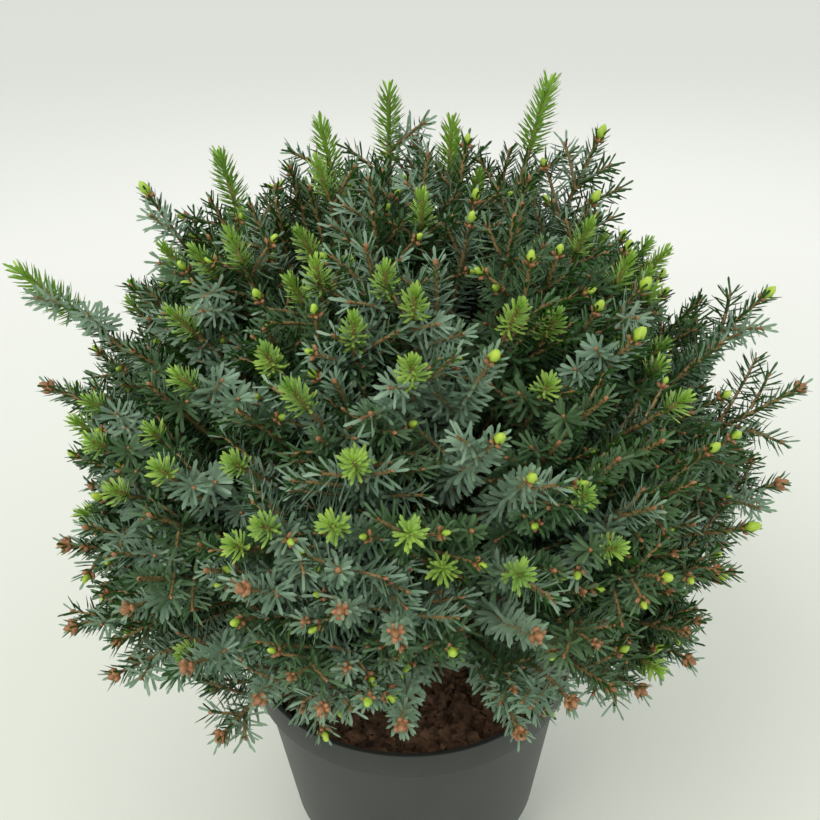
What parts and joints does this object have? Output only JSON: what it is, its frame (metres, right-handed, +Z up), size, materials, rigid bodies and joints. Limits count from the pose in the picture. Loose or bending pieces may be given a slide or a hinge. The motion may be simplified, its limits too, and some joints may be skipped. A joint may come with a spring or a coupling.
{
  "type": "potted dwarf serbian spruce",
  "caption": "Dome-shaped dwarf conifer with short dense shoots and blue-green needles, growing in a round dark nursery pot that stands on its flat base.",
  "frame": {"origin": "the middle of the flat underside of the pot", "axes": "+Z up along the pot's axis, -Y towards the viewer of the picture, +X to the right"},
  "size_m": [0.3834, 0.3725, 0.4592],
  "materials": {
    "needles": "matte",
    "bark": "matte",
    "pot_plastic": "satin",
    "potting_mix": "matte"
  },
  "bodies": {
    "root": {"bough_middle_1": "bark", "bough_middle_2": "bark", "bough_middle_3": "bark", "bough_middle_4": "bark", "bough_middle_5": "bark", "bough_middle_6": "bark", "bough_middle_7": "bark", "bough_middle_8": "bark", "bough_skirt_1": "bark", "bough_skirt_2": "bark", "bough_skirt_3": "bark", "bough_skirt_4": "bark", "bough_skirt_5": "bark", "bough_skirt_6": "bark", "bough_skirt_7": "bark", "bough_skirt_8": "bark", "bough_skirt_9": "bark", "bough_upper_1": "bark", "bough_upper_2": "bark", "bough_upper_3": "bark", "bough_upper_4": "bark", "bough_upper_5": "bark", "foliage_crown": "needles", "foliage_middle_1": "needles", "foliage_middle_2": "needles", "foliage_middle_3": "needles", "foliage_middle_4": "needles", "foliage_middle_5": "needles", "foliage_middle_6": "needles", "foliage_middle_7": "needles", "foliage_middle_8": "needles", "foliage_skirt_1": "needles", "foliage_skirt_2": "needles", "foliage_skirt_3": "needles", "foliage_skirt_4": "needles", "foliage_skirt_5": "needles", "foliage_skirt_6": "needles", "foliage_skirt_7": "needles", "foliage_skirt_8": "needles", "foliage_skirt_9": "needles", "foliage_upper_1": "needles", "foliage_upper_2": "needles", "foliage_upper_3": "needles", "foliage_upper_4": "needles", "foliage_upper_5": "needles", "pot": "pot_plastic", "potting_mix": "potting_mix", "trunk": "bark"}
  },
  "joints": []
}
